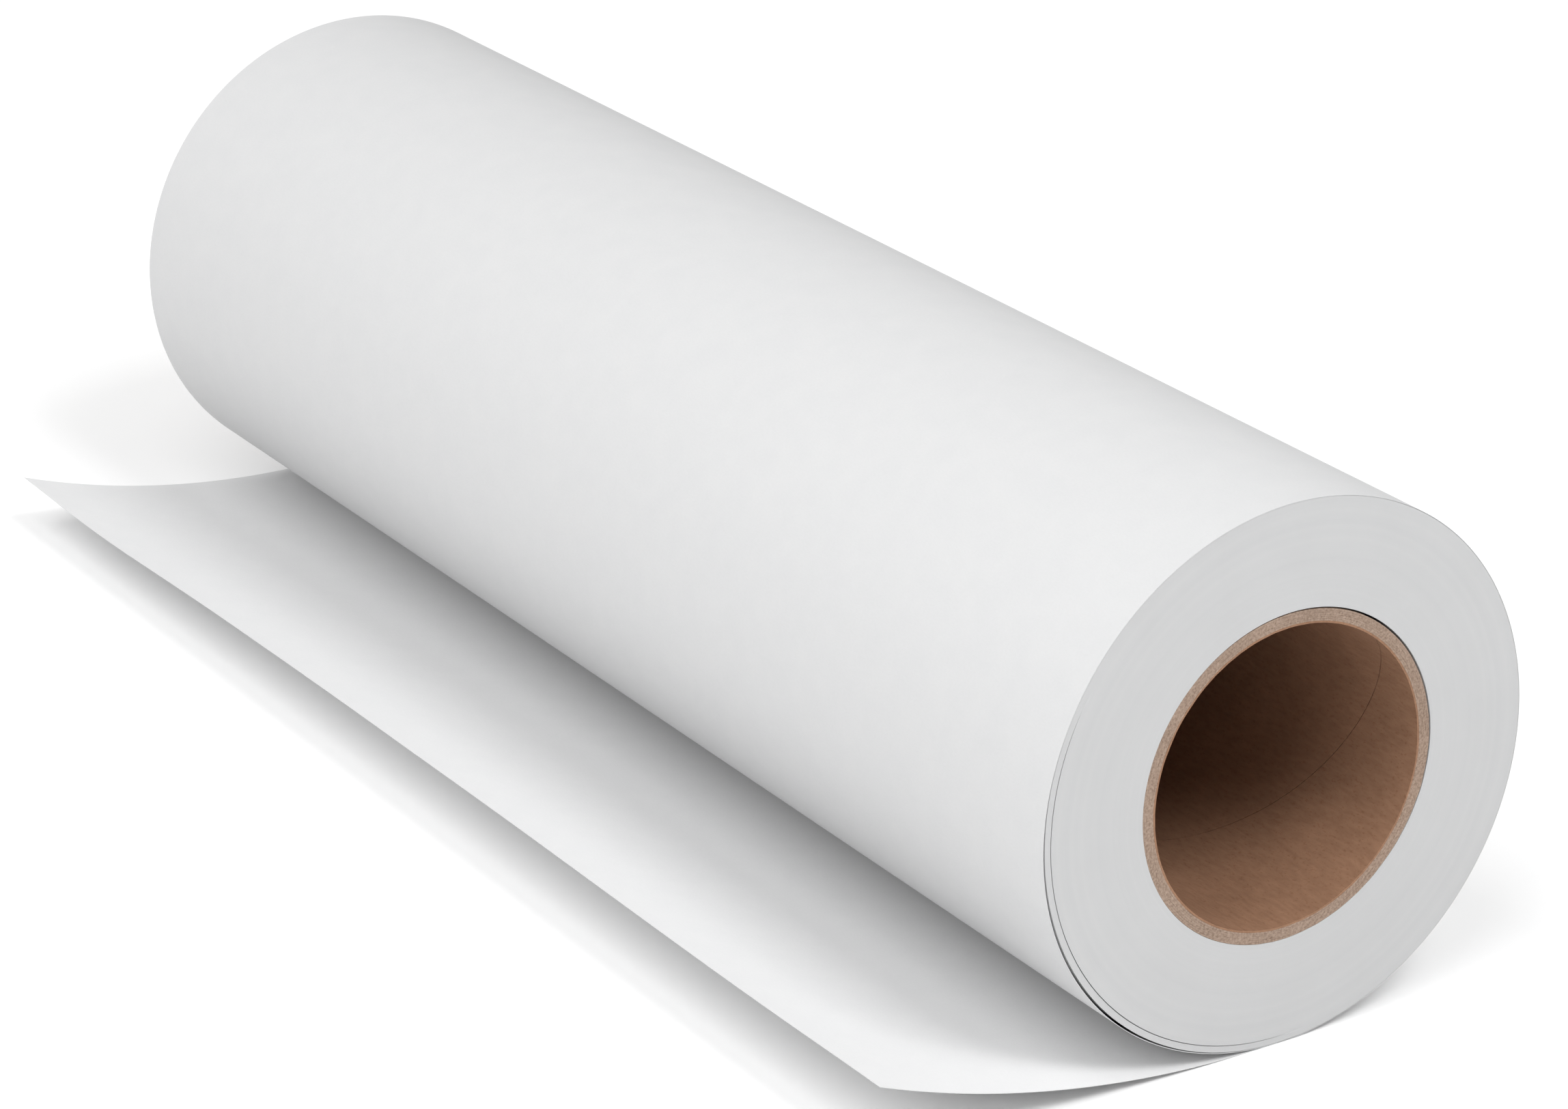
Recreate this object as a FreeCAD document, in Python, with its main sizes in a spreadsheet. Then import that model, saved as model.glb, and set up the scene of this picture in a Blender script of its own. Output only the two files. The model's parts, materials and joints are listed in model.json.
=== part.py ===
"""A roll of wide-format plotter paper on a spiral-wound cardboard core.

The roll rests on the floor with the first stretch of its web unrolled beside it.
Units are millimetres. The origin is on the axis of the core, half way along it.
+X runs along the axis, -Y points to the free end of the web and +Z points up.
Angles about the axis are in degrees, from +Y towards +Z.
"""
import FreeCAD, Part

import math
import os

import Sketcher
from FreeCAD import Placement, Rotation, Vector

# Driving dimensions. Every size in the model is one of these, or is worked out from them.
DIMENSIONS = [
    ("web_width", 457.2, "18 in web, and the core is cut to the same length"),
    ("core_bore_radius", 38.1, "3 in core bore"),
    ("ply_thickness", 0.48, "one ply of core board"),
    ("glue_line", 0.02, "glue between two plies"),
    ("wall_plies", 5, "plies between the liner and the cover"),
    ("seam_gap", 0.4, "open butt seam between two turns of a strip"),
    ("seam_lead", 137.0, "length of core that one turn of a strip takes up"),
    ("liner_seam_angle", 53.0, "where the liner's seam meets the +X end of the core"),
    ("seam_stagger", 154.0, "turn of each ply's seam from the one inside it"),
    ("seam_overrun", 20.0, "how far each seam's cutter reaches past both ends of the core"),
    ("tape_thickness", 0.2, "double-sided starting tape"),
    ("tape_length", 25.0, "starting tape, along the core"),
    ("tape_arc", 34.0, "starting tape, degrees round the core"),
    ("tape_angle", 60.0, "where each starting tape begins"),
    ("tape_inset", 12.0, "from the end of the core to the outer tapes"),
    ("core_gap", 0.25, "between the core and the first lap"),
    ("wound_radius", 68.6, "outside of the tightly wound laps"),
    ("web_thickness", 0.1, "20 lb bond paper"),
    ("lap_gap", 0.3, "between the wound laps and the loose lap, on the floor"),
    ("lap_side_gap", 0.5, "between the wound laps and the loose lap, round the roll"),
    ("slack", 0.4, "how far the loose lap hangs off the roll, at most"),
    ("slack_start", 180.0, "where the slack starts, going down"),
    ("lap_end", 262.0, "where the loose lap ends, under the roll"),
    ("turning_width", 8.0, "strip of web that changes from roll to floor"),
    ("node_gap", 0.3, "between two stretches of web that move apart"),
    ("crease_from_axis", 40.0, "from the roll's axis to the line that the free end bends on"),
    ("free_edge_from_axis", 112.7, "from the roll's axis to the cut edge"),
    ("curl_steps", 12, "flat strips that each curled stretch of the web is made of"),
]

# How the sheet curls at places along the roll, from its -X side to its +X side: the share of the
# width, how far from the roll's axis the sheet leaves the floor, and the radius that it rises on.
CURL_SECTIONS = [
    (0.00, 26.0, 252.0),
    (0.10, 26.0, 272.0),
    (0.25, 17.0, 278.0),
    (0.40, 9.0, 300.0),
    (0.90, 6.4, 294.0),
    (1.00, 6.4, 280.0),
]
for section, (share, curl_start, curl_radius) in enumerate(CURL_SECTIONS, start=1):
    DIMENSIONS.append((f"curl_share_{section}", share, "share of the web's width"))
    DIMENSIONS.append((f"curl_start_{section}", curl_start, "where it leaves the floor there"))
    DIMENSIONS.append((f"curl_radius_{section}", curl_radius, "radius of the curl there"))

doc = FreeCAD.newDocument("plotter_paper_roll")
sizes = doc.addObject("Spreadsheet::Sheet", "sizes")
for row, (alias, value, meaning) in enumerate(DIMENSIONS, start=1):
    sizes.set(f"A{row}", alias)
    sizes.set(f"B{row}", str(value))
    sizes.set(f"C{row}", meaning)
    sizes.setAlias(f"B{row}", alias)
doc.recompute()

ALONG_X = Rotation(Vector(0, 1, 0), 90)
COVER_PLY = 1 + int(sizes.get("wall_plies"))
PLIES = COVER_PLY + 1
SUB_PARTS = []


def size(alias):
    """The value of one driving dimension, from the spreadsheet."""
    return float(sizes.get(alias))


def name_sub_part(piece, label):
    """Give a finished piece the name that its file takes."""
    piece.Label = label
    SUB_PARTS.append(piece)
    return piece


def origin_plane(body, role):
    """One of a body's own three origin planes."""
    return next(plane for plane in body.Origin.OriginFeatures if plane.Role == role)


# ---- The core: strips of board wound in a helix, one over the other -------------------------


def ply_radius(ply):
    """Expression for the inner radius of a ply, counted from the liner, which is 0."""
    return f"sizes.core_bore_radius + {ply} * (sizes.ply_thickness + sizes.glue_line)"


def core_cylinder(name, radius, length="sizes.web_width"):
    """A cylinder on +Z whose sizes follow the spreadsheet."""
    cylinder = doc.addObject("Part::Cylinder", name)
    cylinder.setExpression("Radius", radius)
    cylinder.setExpression("Height", length)
    return cylinder


def seam_cutter(ply):
    """The helical slit between two turns of a ply's strip, longer than the core at both ends."""
    helix = doc.addObject("Part::Helix", f"seam_line_{ply}")
    helix.setExpression("Pitch", "sizes.seam_lead")
    helix.setExpression("Height", "sizes.web_width + 2 * sizes.seam_overrun")
    helix.setExpression("Radius", f"{ply_radius(ply)} + sizes.ply_thickness / 2")
    helix.setExpression("Placement.Base.z", "-sizes.seam_overrun")
    section = doc.addObject("Part::Plane", f"seam_section_{ply}")
    section.setExpression("Length", "3 * sizes.ply_thickness")
    section.setExpression("Width", "sizes.seam_gap")
    section.setExpression("Placement.Base.x", f"{ply_radius(ply)} - sizes.ply_thickness")
    section.setExpression("Placement.Base.z", "-sizes.seam_overrun - sizes.seam_gap / 2")
    section.Placement.Rotation = Rotation(Vector(1, 0, 0), 90)
    doc.recompute()
    cutter = doc.addObject("Part::Sweep", f"seam_cutter_{ply}")
    cutter.Sections = [section]
    cutter.Spine = (helix, [f"Edge{edge}" for edge in range(1, len(helix.Shape.Edges) + 1)])
    cutter.Solid = True
    cutter.Frenet = True
    return cutter


def core_ply(ply, label):
    """One strip of core board, wound in a helix and cut flush at both ends of the core."""
    tube = doc.addObject("Part::Cut", f"ply_tube_{ply}")
    tube.Base = core_cylinder(f"ply_outside_{ply}", f"{ply_radius(ply)} + sizes.ply_thickness")
    tube.Tool = core_cylinder(f"ply_inside_{ply}", ply_radius(ply))
    strip = doc.addObject("Part::Cut", f"ply_strip_{ply}")
    strip.Base = tube
    strip.Tool = seam_cutter(ply)
    turns_to_end = (size("web_width") + size("seam_overrun")) / size("seam_lead")
    end_angle = size("liner_seam_angle") + ply * size("seam_stagger")
    start_angle = end_angle + 90 - 360 * turns_to_end
    strip.Placement = Placement(
        Vector(-size("web_width") / 2, 0, 0), ALONG_X * Rotation(Vector(0, 0, 1), start_angle)
    )
    return name_sub_part(strip, label)


# ---- The starting tapes, between the core and the first lap ---------------------------------


def starting_tape(number, x_start):
    """A short piece of tape, curved round the core: a rectangle turned about the axis."""
    body = doc.addObject("PartDesign::Body", f"tape_body_{number}")
    sketch = body.newObject("Sketcher::SketchObject", f"tape_sketch_{number}")
    sketch.AttachmentSupport = (origin_plane(body, "XY_Plane"), [""])
    sketch.MapMode = "FlatFace"
    inner = size("core_bore_radius") + PLIES * (size("ply_thickness") + size("glue_line"))
    outer = inner + size("tape_thickness")
    corners = [(0, inner), (size("tape_length"), inner), (size("tape_length"), outer), (0, outer)]
    for corner, following in zip(corners, corners[1:] + corners[:1]):
        sketch.addGeometry(Part.LineSegment(Vector(*corner, 0), Vector(*following, 0)), False)
    for line in range(4):
        sketch.addConstraint(Sketcher.Constraint("Coincident", line, 2, (line + 1) % 4, 1))
        direction = "Vertical" if line % 2 else "Horizontal"
        sketch.addConstraint(Sketcher.Constraint(direction, line))
    sketch.addConstraint(Sketcher.Constraint("DistanceX", 0, 1, 0, 2, corners[1][0]))
    sketch.setExpression("Constraints[8]", "sizes.tape_length")
    sketch.addConstraint(Sketcher.Constraint("DistanceY", 1, 1, 1, 2, outer - inner))
    sketch.setExpression("Constraints[9]", "sizes.tape_thickness")
    sketch.addConstraint(Sketcher.Constraint("PointOnObject", 3, 2, -2))
    sketch.addConstraint(Sketcher.Constraint("DistanceY", -1, 1, 0, 1, inner))
    sketch.setExpression("Constraints[11]", ply_radius(PLIES))
    turned = body.newObject("PartDesign::Revolution", f"tape_arc_{number}")
    turned.Profile = sketch
    turned.ReferenceAxis = (sketch, ["H_Axis"])
    turned.setExpression("Angle", "sizes.tape_arc")
    body.Placement = Placement(Vector(x_start, 0, 0), Rotation(Vector(1, 0, 0), size("tape_angle")))
    return name_sub_part(body, f"start_tape_{number}")


# ---- The web ----------------------------------------------------------------------------------


def wound_laps():
    """All the tightly wound laps, as one ring about the core."""
    body = doc.addObject("PartDesign::Body", "wound_body")
    sketch = body.newObject("Sketcher::SketchObject", "wound_sketch")
    sketch.AttachmentSupport = (origin_plane(body, "YZ_Plane"), [""])
    sketch.MapMode = "FlatFace"
    circles = [
        (size("wound_radius"), "sizes.wound_radius"),
        (size("core_bore_radius"), f"{ply_radius(PLIES)} + sizes.core_gap"),
    ]
    for circle, (drawn_radius, radius) in enumerate(circles):
        sketch.addGeometry(Part.Circle(Vector(0, 0, 0), Vector(0, 0, 1), drawn_radius), False)
        sketch.addConstraint(Sketcher.Constraint("Coincident", circle, 3, -1, 1))
        constraint = sketch.addConstraint(Sketcher.Constraint("Radius", circle, drawn_radius))
        sketch.setExpression(f"Constraints[{constraint}]", radius)
    laps = body.newObject("PartDesign::Pad", "wound_laps")
    laps.Profile = sketch
    laps.setExpression("Length", "sizes.web_width")
    body.Placement.Base = Vector(-size("web_width") / 2, 0, 0)
    return name_sub_part(body, "wound_web")


def on_circle(radius, angle, x=0.0):
    """The point at a radius and an angle about the roll's axis."""
    return Vector(x, radius * math.cos(math.radians(angle)), radius * math.sin(math.radians(angle)))


def stretch_of_web(label, shape):
    """A stretch of the thin web, whose profile is a free curve."""
    piece = doc.addObject("Part::Feature", label)
    piece.Shape = shape
    piece.Placement = Placement()
    return name_sub_part(piece, label)


def floor_level():
    """Height of the floor: the roll, the clearance and one thickness of web below the axis."""
    return -(size("wound_radius") + size("lap_gap") + size("web_thickness"))


def lap_side(offset):
    """One face of the loose lap, from its flat start on the floor round to its inner end."""
    radius = size("wound_radius") + size("lap_side_gap") + offset
    flat = floor_level() + size("web_thickness") - offset
    flat_start = Vector(0, size("node_gap") / 2, flat)
    flat_end = Vector(0, math.sqrt(radius**2 - flat**2), flat)
    slack_middle = (size("slack_start") + size("lap_end")) / 2
    round_middle = (math.degrees(math.atan2(flat, flat_end.y)) + size("slack_start")) / 2
    slack_start = on_circle(radius, size("slack_start"))
    slack_belly = on_circle(radius + size("slack"), slack_middle)
    return [
        Part.makeLine(flat_start, flat_end),
        Part.Arc(flat_end, on_circle(radius, round_middle), slack_start).toShape(),
        Part.Arc(slack_start, slack_belly, on_circle(radius, size("lap_end"))).toShape(),
    ]


def loose_lap():
    """The outermost lap: flat where it stands, round the roll, and slack on its way back down."""
    inner = lap_side(0.0)
    outer = lap_side(size("web_thickness"))
    ends = [
        Part.makeLine(inner[0].firstVertex().Point, outer[0].firstVertex().Point),
        Part.makeLine(inner[-1].lastVertex().Point, outer[-1].lastVertex().Point),
    ]
    outline = Part.Wire(Part.__sortEdges__(inner + outer + ends))
    face = Part.Face(outline)
    face.translate(Vector(-size("web_width") / 2, 0, 0))
    return stretch_of_web("outer_lap", face.extrude(Vector(size("web_width"), 0, 0)))


def turning_strip():
    """The strip on the contact line, flat on the floor."""
    strip = Part.makeBox(
        size("web_width"),
        size("turning_width"),
        size("web_thickness"),
        Vector(-size("web_width") / 2, -size("turning_width") - size("node_gap") / 2, floor_level()),
    )
    return stretch_of_web("turning_sheet", strip)


def curl_point(section, y, height):
    """A point of the sheet: on the floor up to the curl's start, then on an arc that rises."""
    x = (size(f"curl_share_{section}") - 0.5) * size("web_width")
    radius = size(f"curl_radius_{section}")
    along = max(0.0, -y - size(f"curl_start_{section}"))
    rise = radius - math.sqrt(radius**2 - along**2)
    return Vector(x, y, floor_level() + rise + height)


def flat_face(*corners):
    """A flat face between its corners."""
    return Part.Face(Part.makePolygon([*corners, corners[0]]))


def curled_sheet(label, y_from, y_to):
    """A stretch of the sheet between two lines, in flat triangles that follow its curl."""
    steps = int(size("curl_steps"))
    places = [y_from + (y_to - y_from) * step / steps for step in range(steps + 1)]
    sections = range(1, len(CURL_SECTIONS) + 1)
    lower = [[curl_point(section, y, 0.0) for y in places] for section in sections]
    upper = [[curl_point(section, y, size("web_thickness")) for y in places] for section in sections]
    faces = []
    for layer in (lower, upper):
        for row, following in zip(layer, layer[1:]):
            for step in range(steps):
                faces.append(flat_face(row[step], row[step + 1], following[step]))
                faces.append(flat_face(row[step + 1], following[step + 1], following[step]))
    for side in (0, -1):
        for step in range(steps):
            low, high = lower[side], upper[side]
            faces.append(flat_face(low[step], low[step + 1], high[step + 1], high[step]))
    for end in (0, -1):
        for section in range(len(CURL_SECTIONS) - 1):
            low = [row[end] for row in lower[section : section + 2]]
            high = [row[end] for row in upper[section : section + 2]]
            faces.append(flat_face(low[0], low[1], high[1], high[0]))
    solid = Part.makeSolid(Part.makeShell(faces))
    if solid.Volume < 0:
        solid.reverse()
    return stretch_of_web(label, solid)


# ---- The assembly -------------------------------------------------------------------------------

core_ply(0, "core_liner_ply")
for wall_ply in range(1, COVER_PLY):
    core_ply(wall_ply, f"core_wall_ply_{wall_ply}")
core_ply(COVER_PLY, "core_cover_ply")

half_width = size("web_width") / 2
outer_tape = half_width - size("tape_inset") - size("tape_length")
tape_places = [-outer_tape - size("tape_length"), -size("tape_length") / 2, outer_tape]
for tape_number, tape_place in enumerate(tape_places, start=1):
    starting_tape(tape_number, tape_place)

wound_laps()
loose_lap()
turning_strip()
crease = -size("crease_from_axis")
half_gap = size("node_gap") / 2
curled_sheet("floor_sheet", -size("turning_width") - half_gap, crease + half_gap)
curled_sheet("free_end", crease - half_gap, -size("free_edge_from_axis"))

doc.recompute()
for item in doc.Objects:
    if "Invalid" in item.State or "Error" in item.State:
        raise RuntimeError(f"{item.Name} did not recompute: {item.State}")
for sub_part in SUB_PARTS:
    if sub_part.Shape.isNull() or not sub_part.Shape.isValid():
        raise RuntimeError(f"{sub_part.Label} has no valid shape")

os.makedirs("parts", exist_ok=True)
for sub_part in SUB_PARTS:
    sub_part.Shape.exportStep(f"parts/{sub_part.Label}.step")
    box = sub_part.Shape.BoundBox
    print(
        f"{sub_part.Label}: {len(sub_part.Shape.Solids)} solid, {sub_part.Shape.Volume:.0f} mm3, "
        f"y {box.YMin:.2f} to {box.YMax:.2f}, z {box.ZMin:.2f} to {box.ZMax:.2f}"
    )
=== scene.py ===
"""A roll of wide-format plotter paper on its cardboard core, with the first stretch unrolled.

Everything is in metres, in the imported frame: +X along the roll's axis, -Y towards the free end
of the web, +Z up, with the origin on the axis half way along the roll. Angles about the axis
are in degrees, from +Y towards +Z.
"""
import json
import math

import bmesh
import bpy
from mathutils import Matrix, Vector, noise


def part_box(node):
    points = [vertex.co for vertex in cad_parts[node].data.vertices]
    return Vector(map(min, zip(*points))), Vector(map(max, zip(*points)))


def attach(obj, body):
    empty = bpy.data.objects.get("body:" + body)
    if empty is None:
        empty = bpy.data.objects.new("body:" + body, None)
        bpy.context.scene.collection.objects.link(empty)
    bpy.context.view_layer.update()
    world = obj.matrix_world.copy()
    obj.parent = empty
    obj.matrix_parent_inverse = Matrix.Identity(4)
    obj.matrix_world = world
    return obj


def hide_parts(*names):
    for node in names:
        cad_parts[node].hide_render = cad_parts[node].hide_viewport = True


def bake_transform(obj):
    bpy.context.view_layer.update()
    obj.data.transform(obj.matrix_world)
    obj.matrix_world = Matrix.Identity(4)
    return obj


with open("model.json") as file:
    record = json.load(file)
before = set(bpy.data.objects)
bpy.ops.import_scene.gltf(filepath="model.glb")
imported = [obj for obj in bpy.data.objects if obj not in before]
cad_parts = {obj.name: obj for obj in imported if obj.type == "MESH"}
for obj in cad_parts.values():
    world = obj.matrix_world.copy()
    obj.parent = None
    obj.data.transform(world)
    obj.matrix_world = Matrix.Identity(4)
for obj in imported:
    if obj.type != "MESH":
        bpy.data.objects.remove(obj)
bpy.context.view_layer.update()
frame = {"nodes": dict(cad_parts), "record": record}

MM = 0.001

# ---- Sizes, from the frame where it has them --------------------------------------------------

HALF_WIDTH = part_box("outer_lap")[1].x
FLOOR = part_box("outer_lap")[0].z
FREE_EDGE = -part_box("free_end")[0].y
SHEET_START = -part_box("turning_sheet")[0].y
CORE_BORE = frame["record"]["mounts"][0]["dims"]["r_mm"] * MM

# The wound laps reach past their CAD ring, to lie close under the outer lap.
WOUND_SWELL = 0.15 * MM
WOUND_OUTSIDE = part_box("wound_web")[1].y + WOUND_SWELL

WEB = 0.1 * MM
PLY = 0.48 * MM
PLY_PITCH = 0.5 * MM
WALL_PLIES = [f"core_wall_ply_{number}" for number in range(1, 6)]
PLY_NODES = ["core_liner_ply", *WALL_PLIES, "core_cover_ply"]
CORE_OUTSIDE = CORE_BORE + len(PLY_NODES) * PLY_PITCH

# How the sheet curls at places along the roll, as in the CAD model: the share of the width from
# the -X side, how far from the axis the sheet leaves the floor, and the radius it rises on.
CURL_SECTIONS = [
    (0.00, 26.0, 252.0),
    (0.10, 26.0, 272.0),
    (0.25, 17.0, 278.0),
    (0.40, 9.0, 300.0),
    (0.90, 6.4, 294.0),
    (1.00, 6.4, 280.0),
]


def smooth_step(share):
    """0 to 1, with level ends."""
    share = min(max(share, 0.0), 1.0)
    return share * share * (3 - 2 * share)


def hump(angle, start, end):
    """0 outside start to end, and a smooth rise to 1 half way between them."""
    share = (angle - start) / (end - start)
    return math.sin(math.pi * share) ** 2 if 0 < share < 1 else 0.0


def about_axis(x, radius, angle):
    """The point at a radius and an angle about the roll's axis."""
    return Vector((x, radius * math.cos(math.radians(angle)), radius * math.sin(math.radians(angle))))


def spread(start, end, steps):
    """steps + 1 even values from start to end."""
    return [start + (end - start) * step / steps for step in range(steps + 1)]


def level_noise(point):
    """Smooth noise, brought to the range from 0 to 1."""
    return 0.5 + 0.5 * noise.noise(point)


# The places along the roll where the thin sheets have their points.
ALONG_ROLL = spread(-HALF_WIDTH, HALF_WIDTH, 72)

# ---- Meshes ------------------------------------------------------------------------------------

SAME_POINT = 1e-6
NO_LENGTH = 1e-7


def make_piece(name, vertices, faces, material, sharp_angle=35):
    """A mesh object with its doubles merged, its normals outwards and its corners sharp."""
    mesh = bpy.data.meshes.new(name)
    mesh.from_pydata(vertices, [], faces)
    shape = bmesh.new()
    shape.from_mesh(mesh)
    bmesh.ops.remove_doubles(shape, verts=shape.verts, dist=SAME_POINT)
    bmesh.ops.dissolve_degenerate(shape, edges=shape.edges, dist=NO_LENGTH)
    bmesh.ops.recalc_face_normals(shape, faces=shape.faces)
    shape.to_mesh(mesh)
    shape.free()
    mesh.shade_smooth()
    mesh.set_sharp_from_angle(angle=math.radians(sharp_angle))
    mesh.materials.append(material)
    piece = bpy.data.objects.new(name, mesh)
    bpy.context.scene.collection.objects.link(piece)
    return piece


def closed_sheet(name, one_side, other_side, material):
    """A closed solid between two grids of points, such as the two faces of a sheet."""
    rows, columns = len(one_side), len(one_side[0])
    vertices = [point for grid in (one_side, other_side) for row in grid for point in row]

    def at(side, row, column):
        return (side * rows + row) * columns + column

    faces = []
    for row in range(rows - 1):
        for column in range(columns - 1):
            for side in (0, 1):
                faces.append(
                    (
                        at(side, row, column),
                        at(side, row, column + 1),
                        at(side, row + 1, column + 1),
                        at(side, row + 1, column),
                    )
                )
    for row in range(rows - 1):
        for column in (0, columns - 1):
            faces.append(
                (at(0, row, column), at(0, row + 1, column), at(1, row + 1, column), at(1, row, column))
            )
    for column in range(columns - 1):
        for row in (0, rows - 1):
            faces.append(
                (at(0, row, column), at(0, row, column + 1), at(1, row, column + 1), at(1, row, column))
            )
    return make_piece(name, vertices, faces, material)


def turned_piece(name, rings, steps, material):
    """A closed solid round the axis. Each ring is a function of the angle that gives (x, radius)."""
    angles = [360 * step / steps for step in range(steps)]
    vertices = [about_axis(*ring(angle), angle) for ring in rings for angle in angles]
    faces = []
    for ring in range(len(rings)):
        following = (ring + 1) % len(rings)
        for step in range(steps):
            beside = (step + 1) % steps
            faces.append(
                (
                    ring * steps + step,
                    ring * steps + beside,
                    following * steps + beside,
                    following * steps + step,
                )
            )
    return make_piece(name, vertices, faces, material)


# ---- Materials ---------------------------------------------------------------------------------


class Shader:
    """A procedural material, built node by node on the piece's own coordinates."""

    def __init__(self, name, roughness, specular=0.5):
        self.material = bpy.data.materials.new(name)
        self.material.use_nodes = True
        self.tree = self.material.node_tree
        self.surface = self.tree.nodes["Principled BSDF"]
        self.surface.inputs["Roughness"].default_value = roughness
        self.surface.inputs["Specular IOR Level"].default_value = specular
        self.place = self.tree.nodes.new("ShaderNodeTexCoord").outputs["Object"]

    def add(self, kind, **settings):
        """A node with its settings."""
        node = self.tree.nodes.new(kind)
        for key, value in settings.items():
            setattr(node, key, value)
        return node

    def join(self, output, socket):
        """A link from an output to an input."""
        self.tree.links.new(output, socket)

    def grain(self, per_metre, detail=3.0, stretch=(1, 1, 1)):
        """Noise of a given fineness, stretched along some axes: its value from 0 to 1."""
        mapping = self.add("ShaderNodeMapping")
        mapping.inputs["Scale"].default_value = [per_metre / length for length in stretch]
        self.join(self.place, mapping.inputs["Vector"])
        texture = self.add("ShaderNodeTexNoise")
        texture.inputs["Scale"].default_value = 1.0
        texture.inputs["Detail"].default_value = detail
        self.join(mapping.outputs["Vector"], texture.inputs["Vector"])
        return texture.outputs["Fac"]

    def rings(self, per_metre, detail=2.0):
        """Noise that changes only with the distance from the roll's axis."""
        parts = self.add("ShaderNodeSeparateXYZ")
        self.join(self.place, parts.inputs["Vector"])
        radial = self.add("ShaderNodeCombineXYZ")
        self.join(parts.outputs["Y"], radial.inputs["Y"])
        self.join(parts.outputs["Z"], radial.inputs["Z"])
        distance = self.add("ShaderNodeVectorMath", operation="LENGTH")
        self.join(radial.outputs["Vector"], distance.inputs[0])
        texture = self.add("ShaderNodeTexNoise", noise_dimensions="1D")
        texture.inputs["Scale"].default_value = per_metre
        texture.inputs["Detail"].default_value = detail
        self.join(distance.outputs["Value"], texture.inputs["W"])
        return texture.outputs["Fac"]

    def ramp(self, value, low, high, start=0.3, end=0.7):
        """A value turned into a colour between low and high."""
        ramp = self.add("ShaderNodeValToRGB")
        ramp.color_ramp.elements[0].position = start
        ramp.color_ramp.elements[0].color = (*low, 1)
        ramp.color_ramp.elements[1].position = end
        ramp.color_ramp.elements[1].color = (*high, 1)
        self.join(value, ramp.inputs["Fac"])
        return ramp.outputs["Color"]

    def blend(self, one, other, share, mode="MIX"):
        """Two colours mixed by a share, which is a number or an output."""
        mix = self.add("ShaderNodeMix", data_type="RGBA", blend_type=mode)
        if isinstance(share, float):
            mix.inputs["Factor"].default_value = share
        else:
            self.join(share, mix.inputs["Factor"])
        self.join(one, mix.inputs["A"])
        self.join(other, mix.inputs["B"])
        return mix.outputs["Result"]

    def remap(self, value, low, high):
        """A value from 0 to 1 brought to the range from low to high."""
        remap = self.add("ShaderNodeMapRange")
        remap.inputs["To Min"].default_value = low
        remap.inputs["To Max"].default_value = high
        self.join(value, remap.inputs["Value"])
        return remap.outputs["Result"]

    def relief(self, layers):
        """Bumps one over the other: each layer is a value, its depth in metres and a strength."""
        normal = None
        for value, depth, strength in layers:
            bump = self.add("ShaderNodeBump")
            bump.inputs["Distance"].default_value = depth
            bump.inputs["Strength"].default_value = strength
            self.join(value, bump.inputs["Height"])
            if normal:
                self.join(normal, bump.inputs["Normal"])
            normal = bump.outputs["Normal"]
        self.join(normal, self.surface.inputs["Normal"])

    def colour(self, colour):
        """The colour that the surface takes."""
        self.join(colour, self.surface.inputs["Base Color"])


def bond_paper(name, whiteness):
    """Uncoated white bond: cloudy formation, fine fibres and a dull, slightly uneven surface."""
    shader = Shader(name, roughness=0.7, specular=0.35)
    clouds = shader.grain(140, detail=4)
    fibres = shader.grain(2600, detail=5, stretch=(2.2, 1, 1))
    darker = [whiteness - shade for shade in (0.012, 0.010, 0.006)]
    lighter = [whiteness + shade for shade in (0.0, 0.001, 0.003)]
    cloudy = shader.ramp(clouds, darker, lighter)
    fibrous = shader.ramp(fibres, (0.95, 0.95, 0.95), (1.0, 1.0, 1.0), 0.35, 0.6)
    shader.colour(shader.blend(cloudy, fibrous, 0.35, "MULTIPLY"))
    shader.join(shader.remap(clouds, 0.66, 0.76), shader.surface.inputs["Roughness"])
    cockle = shader.grain(14, detail=1)
    shader.relief([(cockle, 0.0006, 0.05), (clouds, 0.00008, 0.06), (fibres, 0.00003, 0.3)])
    return shader.material


def wound_edges():
    """The cut edges of the wound laps: very fine rings, duller and greyer than the sheet's face."""
    shader = Shader("wound_edges", roughness=0.85, specular=0.25)
    laps = shader.rings(9000, detail=3)
    bands = shader.rings(420, detail=3)
    clouds = shader.grain(60, detail=4)
    banded = shader.ramp(bands, (0.500, 0.503, 0.507), (0.514, 0.516, 0.518))
    fine = shader.ramp(laps, (0.94, 0.94, 0.94), (1.0, 1.0, 1.0))
    cloudy = shader.ramp(clouds, (0.97, 0.97, 0.97), (1.0, 1.0, 1.0))
    lapped = shader.blend(banded, fine, 0.5, "MULTIPLY")
    shader.colour(shader.blend(lapped, cloudy, 0.7, "MULTIPLY"))
    shader.relief([(bands, 0.00006, 0.3), (laps, 0.00003, 0.4)])
    return shader.material


def core_board(name, low, high, flecks, fineness=900):
    """Kraft board: long fibres, darker flecks and a rough, matt surface."""
    shader = Shader(name, roughness=0.88, specular=0.2)
    fibres = shader.grain(fineness, detail=6, stretch=(3.5, 1, 1))
    blotches = shader.grain(70, detail=4)
    specks = shader.grain(1900, detail=2, stretch=(2, 1, 1))
    board = shader.ramp(fibres, low, high)
    blotched = shader.ramp(blotches, (0.84, 0.83, 0.82), (1.0, 1.0, 1.0))
    flecked = shader.ramp(specks, flecks, (1.0, 1.0, 1.0), 0.30, 0.42)
    shader.colour(
        shader.blend(shader.blend(board, blotched, 0.8, "MULTIPLY"), flecked, 0.6, "MULTIPLY")
    )
    shader.join(shader.remap(fibres, 0.78, 0.95), shader.surface.inputs["Roughness"])
    shader.relief([(blotches, 0.0003, 0.3), (fibres, 0.00008, 0.5)])
    return shader.material


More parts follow.
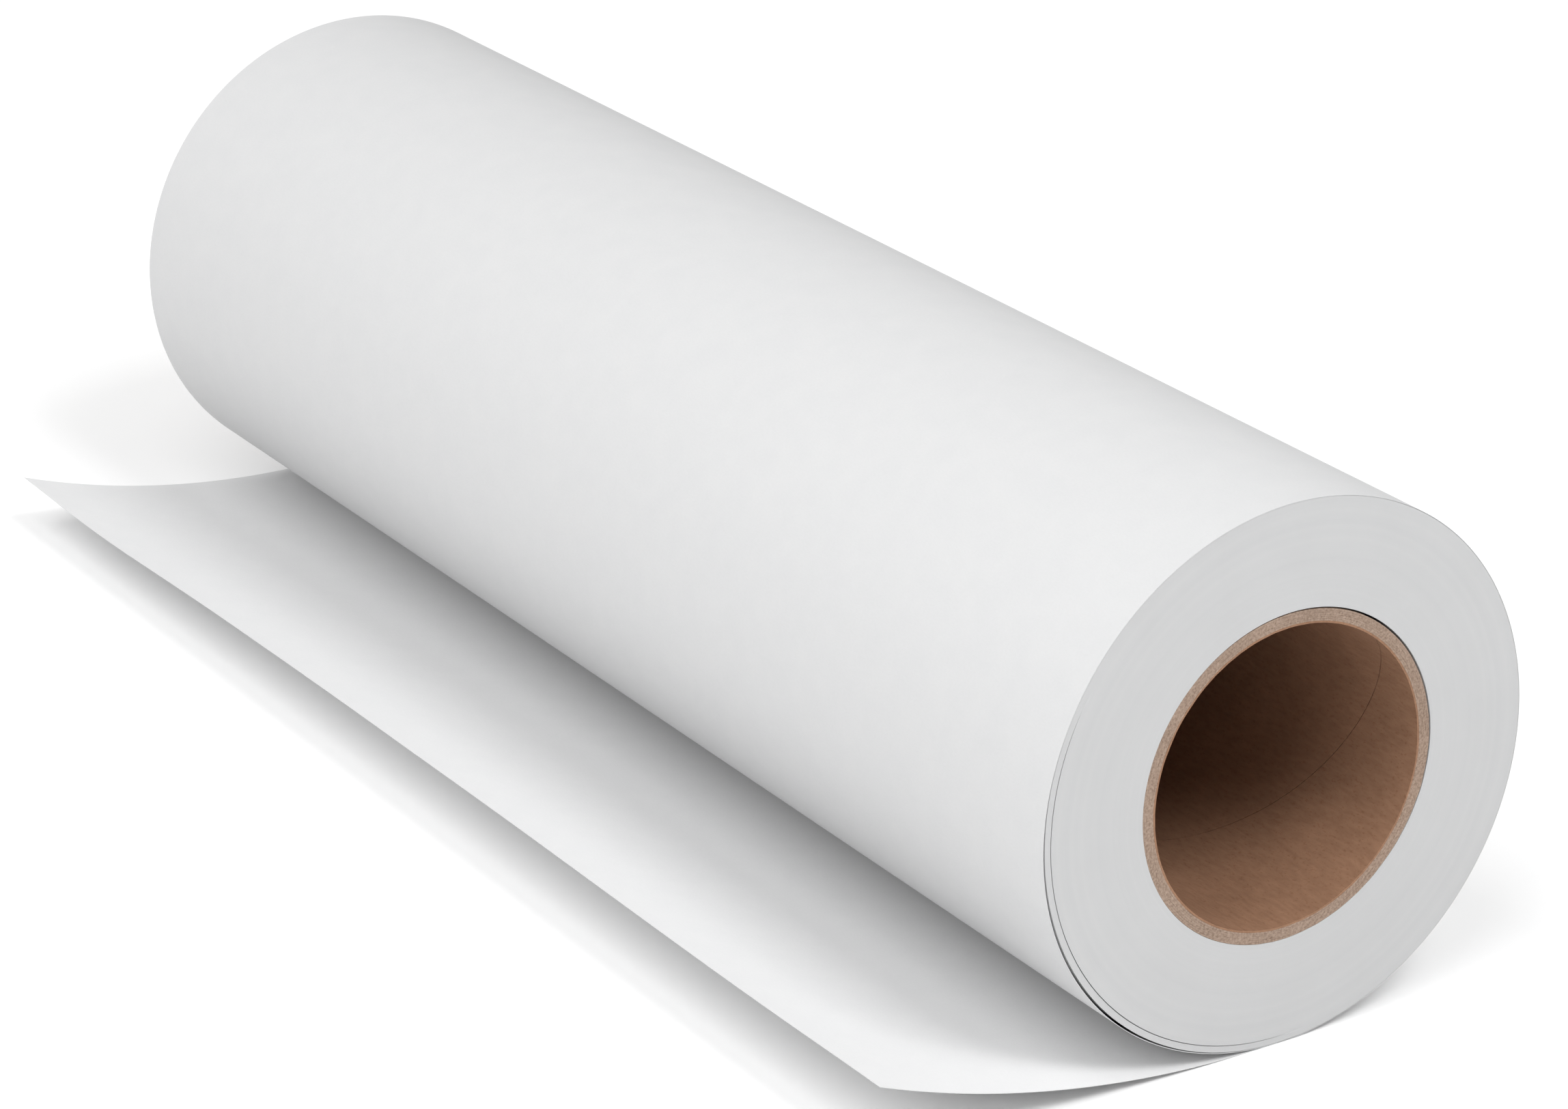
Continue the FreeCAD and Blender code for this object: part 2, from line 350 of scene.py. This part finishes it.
def tape_film():
    """Double-sided tape: a yellowish film with a faint wrinkle."""
    shader = Shader("tape_film", roughness=0.35)
    wrinkles = shader.grain(300, detail=3, stretch=(4, 1, 1))
    shader.colour(shader.ramp(wrinkles, (0.70, 0.66, 0.52), (0.80, 0.77, 0.64)))
    shader.join(shader.remap(wrinkles, 0.28, 0.45), shader.surface.inputs["Roughness"])
    shader.relief([(wrinkles, 0.00005, 0.3)])
    return shader.material


def studio_floor():
    """A plain pale floor with the faintest unevenness."""
    shader = Shader("studio_floor", roughness=0.9, specular=0.1)
    clouds = shader.grain(3, detail=2)
    shader.colour(shader.ramp(clouds, (0.96, 0.96, 0.96), (0.97, 0.97, 0.97)))
    return shader.material


# One paper in two whitenesses. The roll's outside is kept darker as painted shade, and the floor
# sheet's upward face is made lighter as painted light, for where the light falls on each.
PAPER = bond_paper("web_outside", 0.57)
PAPER_PAINTED_LIGHT = bond_paper("web_painted_light_side", 0.735)
EDGES = wound_edges()
LINER = core_board(
    "core_liner_kraft",
    low=(0.275, 0.152, 0.092),
    high=(0.335, 0.190, 0.117),
    flecks=(0.78, 0.70, 0.64),
)
WALL = core_board(
    "core_wall_board",
    low=(0.25, 0.175, 0.130),
    high=(0.41, 0.310, 0.245),
    flecks=(0.62, 0.56, 0.50),
    fineness=1500,
)
TAPE = tape_film()

# ---- The core: strips of board, each wound in a helix inside the next ----------------------------

SEAM_LEAD = 137 * MM
SEAM_GAP = 0.24 * MM
LINER_SEAM_ANGLE = 53
SEAM_STAGGER = 154
SAW_MARKS = 0.14 * MM
COARSE_MARKS_PER_METRE = 900
FINE_MARKS_PER_METRE = 2600


def saw_cut(point):
    """A point of the core's cut end, pulled in a little as a saw leaves it."""
    if abs(point.x) < HALF_WIDTH - NO_LENGTH:
        return point
    coarse = noise.noise(point * COARSE_MARKS_PER_METRE)
    rough = 0.5 + coarse + 0.4 * noise.noise(point * FINE_MARKS_PER_METRE)
    inwards = SAW_MARKS * min(max(rough, 0.0), 1.0)
    return Vector((point.x - math.copysign(inwards, point.x), point.y, point.z))


def core_ply(ply, node, material):
    """One strip. It runs off both ends of the core, where it is cut flush."""
    inside = CORE_BORE + ply * PLY_PITCH
    end_angle = LINER_SEAM_ANGLE + ply * SEAM_STAGGER
    steps_a_turn = 120
    across = spread(SEAM_GAP, SEAM_LEAD, 5)
    turns = (2 * HALF_WIDTH + SEAM_LEAD) / SEAM_LEAD
    grids = []
    for radius in (inside, inside + PLY):
        grid = []
        for turned in spread(-turns, 0.0, math.ceil(turns * steps_a_turn)):
            angle = end_angle + 360 * turned
            edge = HALF_WIDTH + SEAM_LEAD * turned
            places = [min(max(edge + place, -HALF_WIDTH), HALF_WIDTH) for place in across]
            grid.append([saw_cut(about_axis(x, radius, angle)) for x in places])
        grids.append(grid)
    piece = closed_sheet(f"board_{node}", *grids, material)
    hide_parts(node)
    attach(piece, "roll")


for ply_number, ply_node in enumerate(PLY_NODES):
    core_ply(ply_number, ply_node, WALL if ply_number else LINER)

for strip in ("start_tape_1", "start_tape_2", "start_tape_3"):
    taped = frame["nodes"][strip]
    taped.data.materials.clear()
    taped.data.materials.append(TAPE)

# ---- The wound laps: one solid, with the spiral of their edges in relief on both ends -----------

RING_SPACING = 0.5 * MM
STEPS_ROUND = 256
LAP_RELIEF = 0.05 * MM
RIDGES_PER_METRE = 450
SPIRAL_LAPS = 20
WAVINESS = 0.03 * MM
WAVES_PER_METRE = 60

GROOVE_RADIUS = 67.0 * MM
GROOVE_DEPTH = 0.8 * MM
GROOVE_WIDTH = 0.16 * MM
GROOVE_LIP = 0.03 * MM
GROOVE_ARC = (150, 275)
GROOVE_INSET = 0.02 * MM
BEFORE_GROOVE = 0.3 * MM
BEYOND_GROOVE = 0.9 * MM

CORE_CLEARANCE = 0.02 * MM
CORE_SAG = 0.45 * MM
SAG_ANGLE = 45
OUTER_SKIN = 0.3 * MM


def end_face(side, radius):
    """A ring of an end face at a radius, where the laps' edges spiral and stand a hair in or out."""

    def ring(angle):
        turned = radius + WEB * SPIRAL_LAPS * angle / 360
        relief = LAP_RELIEF * level_noise(Vector((turned * RIDGES_PER_METRE, side, 0.0)))
        relief += WAVINESS * level_noise(about_axis(side, radius, angle) * WAVES_PER_METRE)
        return side * (HALF_WIDTH - relief), radius

    return ring


def groove_ring(side, radius, depth):
    """A ring at a wall of the groove that one lap leaves. It fades out at both ends of its arc."""

    def ring(angle):
        inwards = depth * hump(angle, *GROOVE_ARC) ** 0.5
        return side * (HALF_WIDTH - GROOVE_INSET - inwards), radius

    return ring


def core_side(side):
    """The ring at the core: the laps sit close below and stand off a little above."""

    def ring(angle):
        clearance = CORE_SAG * max(0.0, math.cos(math.radians(angle - SAG_ANGLE)))
        return side * HALF_WIDTH, CORE_OUTSIDE + CORE_CLEARANCE + clearance

    return ring


def wound_web():
    """The laps between the core and the outer lap, on the roll."""
    first = CORE_OUTSIDE + 2 * RING_SPACING
    count = int((GROOVE_RADIUS - BEFORE_GROOVE - first) / RING_SPACING)
    far_wall = GROOVE_RADIUS + GROOVE_LIP + GROOVE_WIDTH
    face_radii = [first + RING_SPACING * step for step in range(count)]
    sides = []
    for side in (1, -1):
        sides.append(
            [core_side(side)]
            + [end_face(side, radius) for radius in face_radii]
            + [
                groove_ring(side, GROOVE_RADIUS, 0.0),
                groove_ring(side, GROOVE_RADIUS + GROOVE_LIP, GROOVE_DEPTH),
                groove_ring(side, far_wall, GROOVE_DEPTH),
                groove_ring(side, far_wall + GROOVE_LIP, 0.0),
                end_face(side, GROOVE_RADIUS + BEYOND_GROOVE),
                end_face(side, WOUND_OUTSIDE),
            ]
        )
    lengthwise = [
        (lambda angle, x=x: (x, WOUND_OUTSIDE)) for x in spread(HALF_WIDTH, -HALF_WIDTH, 24)[1:-1]
    ]
    rings = sides[0] + lengthwise + sides[1][::-1]
    piece = turned_piece("laps_wound", rings, STEPS_ROUND, EDGES)
    piece.data.materials.append(PAPER)
    for face in piece.data.polygons:
        outside = Vector(face.center.yz).length > WOUND_OUTSIDE - OUTER_SKIN
        if outside and abs(face.normal.x) < 0.5:
            face.material_index = 1
    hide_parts("wound_web")
    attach(piece, "roll")


wound_web()

# ---- The outer lap: one turn of the sheet, slack where it nears the floor ------------------------

LAP_START = -90
LAP_END = 268
LAP_RADIUS = 68.82 * MM
START_LIFT = 0.08 * MM
START_REACH = 8
SLACK_ARC = (150, 274)
SLACK_FAR = 0.30 * MM
SLACK_NEAR = 0.58 * MM


def lap_radius(x, angle):
    """The inside of the lap. It lies on the laps below and stands off them over an arc."""
    near = (x + HALF_WIDTH) / (2 * HALF_WIDTH)
    slack = SLACK_FAR + (SLACK_NEAR - SLACK_FAR) * smooth_step(near)
    start = START_LIFT * math.exp(-(((angle - LAP_START) / START_REACH) ** 2))
    return LAP_RADIUS + start + slack * hump(angle, *SLACK_ARC)


def outer_lap():
    """One turn of the sheet, from the floor round to just short of where it began."""
    grids = []
    for skin in (0.0, WEB):
        grid = []
        for angle in spread(LAP_START, LAP_END, LAP_END - LAP_START):
            grid.append([about_axis(x, lap_radius(x, angle) + skin, angle) for x in ALONG_ROLL])
        grids.append(grid)
    piece = closed_sheet("lap_loose", *grids, PAPER)
    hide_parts("outer_lap")
    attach(piece, "loose_lap")


outer_lap()

# ---- The sheet on the floor: flat under the roll, then curling up to its free edge ---------------

EVENING_REACH = 24 * MM
SLOPE_STEP = 0.5 * MM
WAVE_HEIGHT = 0.5 * MM
WAVE_START = 30 * MM
WAVE_GROWTH = 80 * MM
WAVE_PLACE = 4.0
WAVES_PER_METRE_OF_ROLL = 9
WAVES_PER_METRE_OF_SHEET = 12


def curl_at(x, which):
    """A column of CURL_SECTIONS at a place along the roll, in a straight line between its rows."""
    share = (x + HALF_WIDTH) / (2 * HALF_WIDTH)
    share = min(max(share, 0.0), 1.0)
    for lower, upper in zip(CURL_SECTIONS, CURL_SECTIONS[1:]):
        if share <= upper[0]:
            between = (share - lower[0]) / (upper[0] - lower[0])
            return lower[which] + (upper[which] - lower[which]) * between
    return CURL_SECTIONS[-1][which]


def curl_smoothly(x, which):
    """The same, averaged over a stretch of the width so that no crease shows."""
    places = spread(x - EVENING_REACH, x + EVENING_REACH, 8)
    return sum(curl_at(place, which) for place in places) / len(places)


def outline(x):
    """The height of the sheet's underside at a place along the roll, by distance from the axis."""
    start = curl_smoothly(x, 1) * MM
    radius = curl_smoothly(x, 2) * MM

    def height(distance):
        beyond = max(0.0, distance - start)
        return radius - math.sqrt(radius * radius - beyond * beyond)

    return height


def sheet_on_floor(name, places, uneven):
    """A stretch of sheet over some distances from the axis, with waves of at most uneven."""
    under, over = [], []
    for distance in places:
        lower_row, upper_row = [], []
        for x in ALONG_ROLL:
            height = outline(x)
            climb = height(distance + SLOPE_STEP) - height(max(distance - SLOPE_STEP, 0.0))
            tilt = math.atan(climb / (2 * SLOPE_STEP))
            free = min(max((distance - WAVE_START) / WAVE_GROWTH, 0.0), 1.0)
            spot = (x * WAVES_PER_METRE_OF_ROLL, distance * WAVES_PER_METRE_OF_SHEET, WAVE_PLACE)
            wave = uneven * free * noise.noise(Vector(spot))
            rise = height(distance) + max(wave, -height(distance))
            point = Vector((x, -distance, FLOOR + rise))
            lower_row.append(point)
            upper_row.append(point + Vector((0, math.sin(tilt), math.cos(tilt))) * WEB)
        under.append(lower_row)
        over.append(upper_row)
    piece = closed_sheet(name, under, over, PAPER)
    # The faces that look up take the lighter copy of the paper: painted light on the top of the sheet.
    piece.data.materials.append(PAPER_PAINTED_LIGHT)
    for face in piece.data.polygons:
        if face.normal.z > 0.5:
            face.material_index = 1
    return piece


turning = sheet_on_floor("sheet_turning", spread(0.0, SHEET_START, 8), 0.0)
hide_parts("turning_sheet")
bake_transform(turning)

flap = sheet_on_floor("sheet_end", spread(SHEET_START, FREE_EDGE, 84), WAVE_HEIGHT)
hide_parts("floor_sheet", "free_end")
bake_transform(flap)

# ---- The floor, the light and the camera --------------------------------------------------------

FLOOR_REACH = 4.0
WORLD_STRENGTH = 0.43
CAMERA_AZIMUTH = 57.58
CAMERA_ELEVATION = 22.37

signs = [(-1, -1), (1, -1), (1, 1), (-1, 1)]
corners = [(x_sign * FLOOR_REACH, y_sign * FLOOR_REACH, FLOOR) for x_sign, y_sign in signs]
floor_mesh = bpy.data.meshes.new("floor")
floor_mesh.from_pydata(corners, [], [(0, 1, 2, 3)])
floor_mesh.materials.append(studio_floor())
floor = bpy.data.objects.new("floor", floor_mesh)
bpy.context.scene.collection.objects.link(floor)

world = bpy.data.worlds.new("studio")
world.use_nodes = True
background = world.node_tree.nodes["Background"]
background.inputs["Color"].default_value = (1.0, 1.0, 1.0, 1)
background.inputs["Strength"].default_value = WORLD_STRENGTH
bpy.context.scene.world = world


def soft_box(name, place, target, size, power):
    """A square light that faces a point."""
    light = bpy.data.lights.new(name, "AREA")
    light.shape = "SQUARE"
    light.size = size
    light.energy = power
    lamp = bpy.data.objects.new(name, light)
    lamp.location = place
    towards = Vector(target) - Vector(place)
    lamp.rotation_euler = towards.to_track_quat("-Z", "Y").to_euler()
    bpy.context.scene.collection.objects.link(lamp)


soft_box("front", (0.3, -1.8, 2.0), (0, 0, 0), 3.0, 68)
soft_box("back", (0.3, 1.8, 2.2), (0, 0, 0), 3.0, 9)
soft_box("near_end", (1.55, 0.3, 1.9), (0.2, 0, 0), 0.9, 29)

camera_data = bpy.data.cameras.new("camera")
camera_data.sensor_width = 36
camera_data.lens = 116.5
camera_data.clip_start = 0.05
camera = bpy.data.objects.new("camera", camera_data)
camera.location = (1.0647, -0.6691, 0.4940)
camera.rotation_euler = (math.radians(90 - CAMERA_ELEVATION), 0, math.radians(CAMERA_AZIMUTH))
bpy.context.scene.collection.objects.link(camera)
bpy.context.scene.camera = camera
bpy.context.scene.view_settings.view_transform = "Standard"
